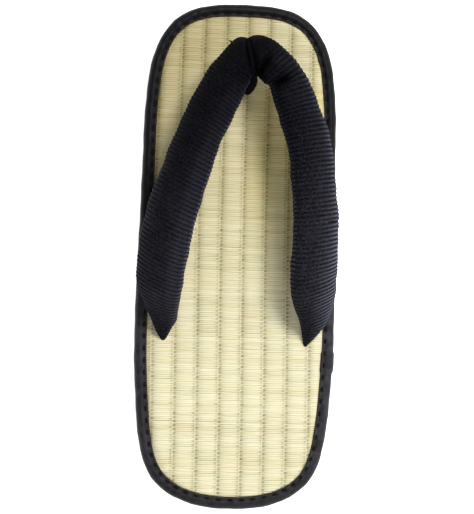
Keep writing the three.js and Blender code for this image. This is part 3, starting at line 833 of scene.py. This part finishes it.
def strap_tube():
    along, rows, centres, wide, through = tube_sections(STRAP_ROWS, RIB_PITCH / ROWS_PER_RIB)
    (a, b), (face_a, face_b) = section_shape(STRAP_SIDES, STRAP_SQUARENESS)
    half_wide, half_thick = rows["width"] / 2 * MM, rows["thick"] / 2 * MM
    out_a, out_b = face_a / half_wide, face_b / half_thick
    size = np.hypot(out_a, out_b)
    normal = off_centre(wide, through, out_a / size, out_b / size)
    slack = SLACK * smoothstep(rows["rise"], 4, 14)
    points = centres[:, None] + off_centre(wide, through, a * (half_wide + slack), b * half_thick)

    join_at = along[np.abs(rows["x"] - JOIN["x"]).argmin()]
    beyond = (along - join_at) / MM
    rib = rib_crests(along, rows, a, half_wide, beyond)
    clear_of_mat = smoothstep(rows["rise"], -1.0, 3.0)
    drawn_in = np.exp(-((beyond / 12) ** 2))
    turned_away = smoothstep(0.95 - normal[..., 2], 0.12, 0.42)
    ribbing = RIB_HEIGHT * (rib - 0.3) * (0.3 + 0.7 * turned_away) * (1 - 0.7 * drawn_in)
    upper = smoothstep(normal[..., 2], -0.5, 0.25)
    pressed, crease_shade = press_creases(points, upper)
    cinch = CINCH_DEPTH * np.exp(-((beyond / CINCH_HALF_LENGTH) ** 2)) * (1 - upper)
    offset = (ribbing + uneven_wadding(along)) * clear_of_mat - pressed - cinch
    points = points + normal * offset[..., None]

    # Painted shading of the ribs: painted shade in their valleys and a painted highlight on their crests,
    # both most where the cloth turns away from above. The highlight is strongest on the outer side of the
    # right arm and on the inner side of the left one, which face the light on the right. The creases and the
    # cloth round the join get painted shade, and the crests lose their highlight there.
    right_arm, outward = beyond > 0, smoothstep(a, -0.45, 0.45)
    on_top = np.where(right_arm, RIGHT_RIBS_ON_TOP, LEFT_RIBS_ON_TOP)
    by_join = np.exp(-(((beyond - 10) / 14) ** 2))
    shown = clear_of_mat * np.maximum(on_top + (1 - on_top) * turned_away, 0.5 * by_join)
    shown = shown * (1 - 0.85 * drawn_in * smoothstep(a, 0.2, 0.8))
    right_highlight = np.interp(outward, (0, 1), RIGHT_HIGHLIGHT_INSIDE_AND_OUT)
    left_highlight = np.interp(outward, (0, 1), LEFT_HIGHLIGHT_INSIDE_AND_OUT)
    paler_share = np.where(right_arm, right_highlight, left_highlight)
    # Painted shade round the folded join, which also takes the highlight off the rib crests there.
    folded = np.exp(-(((beyond - 6) / 16) ** 2))
    # Painted highlight on the inner, right-facing side of the left arm, away from the join.
    left_inner_highlight = 0.13 * smoothstep(-a, 0.3, 0.75) * smoothstep(-beyond, 12, 30)
    valley = np.maximum(crease_shade, np.maximum((1 - rib) * shown, 0.42 * folded))
    crest = rib**3 * shown * paler_share * (1 - 0.9 * folded) * (1 - crease_shade) + left_inner_highlight * rib

    caps = [end_cap(points[end], centres[end]) for end in (0, -1)]
    tube = (points, grid_faces(len(along), STRAP_SIDES, closed_columns=True))
    around = np.append(np.arange(STRAP_SIDES) / STRAP_SIDES, 1.0) * CLOTH_ROUND_TUBE
    flat = np.stack(np.broadcast_arrays(around, along / MM), -1)
    corners = np.stack([flat[:-1, :-1], flat[1:, :-1], flat[1:, 1:], flat[:-1, 1:]], 2).reshape(-1, 2)
    return make_piece(
        "padded_strap", *joined([tube, *caps]), corded_cloth(),
        flat_cloth=corners, valley=valley, crest=crest,
    )


def corded_cloth():
    """Blue-black corded cotton with fine warp threads over each rib, painted highlights and painted shade."""
    material, place = start_material(
        "Corded cloth", Specular_IOR_Level=0.02, Sheen_Weight=0.006, Sheen_Roughness=0.4,
        Sheen_Tint=(0.75, 0.78, 1.0, 1),
    )
    valley, crest = place.held("valley"), place.held("crest")
    cloth = place.node("ShaderNodeUVMap", {"uv_map": "Cloth"}, {}, "UV")
    threads = cloth.node(
        "ShaderNodeTexWave", {"wave_type": "BANDS", "bands_direction": "X"},
        {"Vector": cloth, "Scale": 0.9, "Distortion": 1.5, "Detail": 2.0, "Detail Scale": 3.0}, "Fac",
    )
    fluff = place.noise(1.5, 3.0)
    # Pale specks of fluff, painted more strongly on the right arm as painted light from the right.
    pale_specks_and_light = place.noise(1.1, 1.0).between(0.45, 0.75) * (0.28 + place.along("X").between(-30, 25) * 0.28)
    # Mottled paler where the dye has rubbed thin.
    paler_share = (place.noise(0.12, 4.0) * 0.3 + fluff * 0.7).between(0.40, 0.62)
    colour = paler_share.blend((0.001, 0.001, 0.0022, 1), (0.0100, 0.0095, 0.0132, 1))
    colour = pale_specks_and_light.blend(colour, (0.048, 0.045, 0.053, 1))
    # Painted shade in the rib valleys, in the creases and round the join.
    colour = (valley.between(0.1, 0.7) * 0.9).blend(colour, (0.001, 0.001, 0.002, 1))
    # Painted highlight on the rib crests, strongest on the sides that face the light on the right.
    colour = (crest * fluff.between(0.2, 0.45)).blend(colour, (0.150, 0.152, 0.200, 1))
    # Painted shade: the cloth is painted darker toward the toe.
    colour = colour.tinted(place.along("Y").between(-5, 85), (0.34, 0.35, 0.38, 1))
    cover(material, colour, 0.5 + fluff * 0.25, threads * 0.5 + fluff * 0.5, 0.22 * MM)
    return material


def loose_thread(material):
    """One end of the strap's sewing thread, left sticking out of its seam by the join."""
    share = np.linspace(0, 1, 12)
    x = (-5.4 - 4.0 * share) * MM
    y = (107.9 + 3.2 * share - 0.5 * share**2) * MM
    z = footbed(y) + (28.0 + 0.6 * np.sin(3 * share)) * MM
    points, faces = thread_run(np.stack([x, y, z], 1), THREAD_WIDTH / 2)
    return make_piece("loose_thread", points, faces, material)


strap = strap_tube()
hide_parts("strap")
thread_end = loose_thread(sewing_thread)


# -------------------------------------------------------------------------------- The toe thong
# A black cotton thong, as thick as a pencil where it stands between the toes. Its band goes once round the
# strap's waist, out of sight in the groove, and its tail goes down through the insole.
THONG_ROWS = [
    dict(x=3.8, y=88.6, rise=-8.0, heading=0, roll=0, width=5.4, thick=4.8),
    dict(x=3.8, y=88.6, rise=-3.0, heading=0, roll=0, width=5.4, thick=4.8),
    dict(x=2.9, y=88.2, rise=0.5, heading=0, roll=0, width=4.6, thick=5.8),
    dict(x=3.1, y=89.4, rise=8.0, heading=0, roll=0, width=6.2, thick=6.6),
    dict(x=3.5, y=92.0, rise=16.0, heading=0, roll=0, width=6.8, thick=6.4),
    dict(x=3.2, y=96.0, rise=23.0, heading=0, roll=0, width=4.2, thick=5.6),
    dict(x=2.8, y=98.4, rise=26.0, heading=0, roll=0, width=3.2, thick=5.2),
]
THONG_SIDES, THONG_SQUARENESS = 40, 2.5
STRAND_HEIGHT, STRAND_TURN = 0.14 * MM, 2.2 * MM
BAND_SIDES = 96
BAND_WIDTH, BAND_THICKNESS, BAND_EDGE, BAND_INSIDE = 2.3, 0.9, 0.3, 0.2
CINCHED_WIDTH, CINCHED_THICKNESS = 15.4, 7.0


def thong_post():
    """The post between the toes: a cord of twisted strands, from under the insole up into the groove."""
    along, rows, centres, wide, through = tube_sections(THONG_ROWS, 0.3 * MM)
    (a, b), _ = section_shape(THONG_SIDES, THONG_SQUARENESS)
    turn = np.linspace(0, 2 * np.pi, THONG_SIDES, endpoint=False)
    strands = STRAND_HEIGHT * np.abs(np.sin(4 * turn + along / STRAND_TURN))
    half_wide, half_thick = rows["width"] / 2 * MM, rows["thick"] / 2 * MM
    reach = 1 + strands / (3 * MM)
    post = centres[:, None] + off_centre(wide, through, a * half_wide * reach, b * half_thick * reach)
    caps = [end_cap(post[end], post[end].mean(0)) for end in (0, -1)]
    return [(post, grid_faces(len(post), THONG_SIDES, closed_columns=True)), *caps]


def thong_band():
    """The narrow hoop round the strap's waist, thinner toward its two edges."""
    heading = math.radians(JOIN["heading"])
    ends = [
        JOIN | dict(
            x=JOIN["x"] + side * BAND_WIDTH / 2 * math.sin(heading),
            y=JOIN["y"] - side * BAND_WIDTH / 2 * math.cos(heading),
            width=CINCHED_WIDTH, thick=CINCHED_THICKNESS,
        )
        for side in (-1, 1)
    ]
    _, rows, centres, wide, through = tube_sections(ends, 0.2 * MM)
    (a, b), _ = section_shape(BAND_SIDES, THONG_SQUARENESS)
    half_wide, half_thick = rows["width"] / 2 * MM, rows["thick"] / 2 * MM
    middle = np.sin(np.linspace(0, np.pi, len(centres)))[:, None] ** 0.6
    outside = (BAND_EDGE + (BAND_THICKNESS - BAND_EDGE) * middle) * MM
    hoops = [
        centres[:, None] + off_centre(wide, through, a * (half_wide + grown), b * (half_thick + grown))
        for grown in (outside, BAND_INSIDE * MM)
    ]
    band = np.concatenate([hoops[0], hoops[1][::-1]])
    return band, grid_faces(len(band), BAND_SIDES, closed_rows=True, closed_columns=True)


def thong_cloth():
    """Soft, closely woven black cotton."""
    material, place = start_material("Thong cloth", Specular_IOR_Level=0.02)
    weave = place.noise(4.0, 3.0)
    colour = weave.between(0.3, 0.7).blend((0.0012, 0.0012, 0.0020, 1), (0.0045, 0.0045, 0.0065, 1))
    cover(material, colour, 0.7 + weave * 0.2, weave, 0.12 * MM)
    return material


toe_thong = make_piece("toe_thong_cloth", *joined([*thong_post(), thong_band()]), thong_cloth())
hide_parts("toe_thong")


# -------------------------------------------------------------------------------- The studio
# A plain pale floor that glows, so that it shows hardly any shadow, and is clear from below. A soft lamp
# stands behind the heel and a higher one beyond the toe on the right, in a white surround, brightest low on
# the right. The camera looks almost straight down from the left, rolled so that the toe leans to the right.
FLOOR_SIZE = 6.0
FLOOR_GLOW = 0.95
OVERHEAD, ROUND_ABOUT = 0.18, 1.0
LAMPS = (("key", (0.1, -0.8, 0.75), 0.5, 4.2), ("side", (0.38, 0.62, 1.35), 0.45, 18.5))
CAMERA_SIDE, CAMERA_HEIGHT = -70 * MM, 1.12
CAMERA_ROLL = math.radians(1.7)
LENS = 147.3
AIM = Vector((0.0, 0.0, footbed(0.0)))


def pale_floor():
    material, place = start_material(
        "Pale floor", Specular_IOR_Level=0.2, Emission_Color=(1, 1, 1, 1), Emission_Strength=FLOOR_GLOW,
    )
    grain = place.noise(0.02)
    pale = grain.blend((0.90, 0.90, 0.90, 1), (0.93, 0.93, 0.93, 1))
    cover(material, pale, 0.85 + grain * 0.1, grain, 0.01 * MM)
    seen_from_above = 1 - place.node("ShaderNodeNewGeometry", {}, {}, "Backfacing")
    surface = material.node_tree.nodes["Principled BSDF"]
    material.node_tree.links.new(seen_from_above.socket, surface.inputs["Alpha"])
    corners = np.array([[-1, -1, 0], [1, -1, 0], [1, 1, 0], [-1, 1, 0]]) * FLOOR_SIZE / 2
    mesh = bpy.data.meshes.new("floor")
    mesh.from_pydata(corners.tolist(), [], [[0, 1, 2, 3]])
    mesh.materials.append(material)
    floor = bpy.data.objects.new("floor", mesh)
    bpy.context.scene.collection.objects.link(floor)


def white_surround():
    world = bpy.data.worlds.new("surround")
    world.use_nodes = True
    toward = Wire(world.node_tree, None).node("ShaderNodeTexCoord", {}, {}, "Generated")
    up, right = toward.along("Z"), toward.along("X")
    glow = (1 - up.math("ABSOLUTE", up)) * (0.5 + right * 0.5)
    strength = OVERHEAD + (ROUND_ABOUT - OVERHEAD) * glow
    background = world.node_tree.nodes["Background"]
    background.inputs["Color"].default_value = (1.0, 1.0, 1.0, 1)
    world.node_tree.links.new(strength.socket, background.inputs["Strength"])
    bpy.context.scene.world = world


def soft_lamps():
    for name, place, size, energy in LAMPS:
        lamp = bpy.data.lights.new(name, "AREA")
        lamp.size = size
        lamp.energy = energy
        holder = bpy.data.objects.new(name, lamp)
        holder.location = place
        holder.rotation_euler = (AIM - Vector(place)).to_track_quat("-Z", "Y").to_euler()
        bpy.context.scene.collection.objects.link(holder)


def camera():
    place = Vector((CAMERA_SIDE, 0.0, CAMERA_HEIGHT))
    back = (place - AIM).normalized()
    upwards = Vector((-math.sin(CAMERA_ROLL), math.cos(CAMERA_ROLL), 0.0))
    right = upwards.cross(back).normalized()
    turned = Matrix((right, back.cross(right), back)).transposed().to_4x4()
    lens = bpy.data.cameras.new("camera")
    lens.lens = LENS
    holder = bpy.data.objects.new("camera", lens)
    holder.matrix_world = Matrix.Translation(place) @ turned
    bpy.context.scene.collection.objects.link(holder)
    bpy.context.scene.camera = holder


pale_floor()
white_surround()
soft_lamps()
camera()
bpy.context.scene.view_settings.view_transform = "Standard"
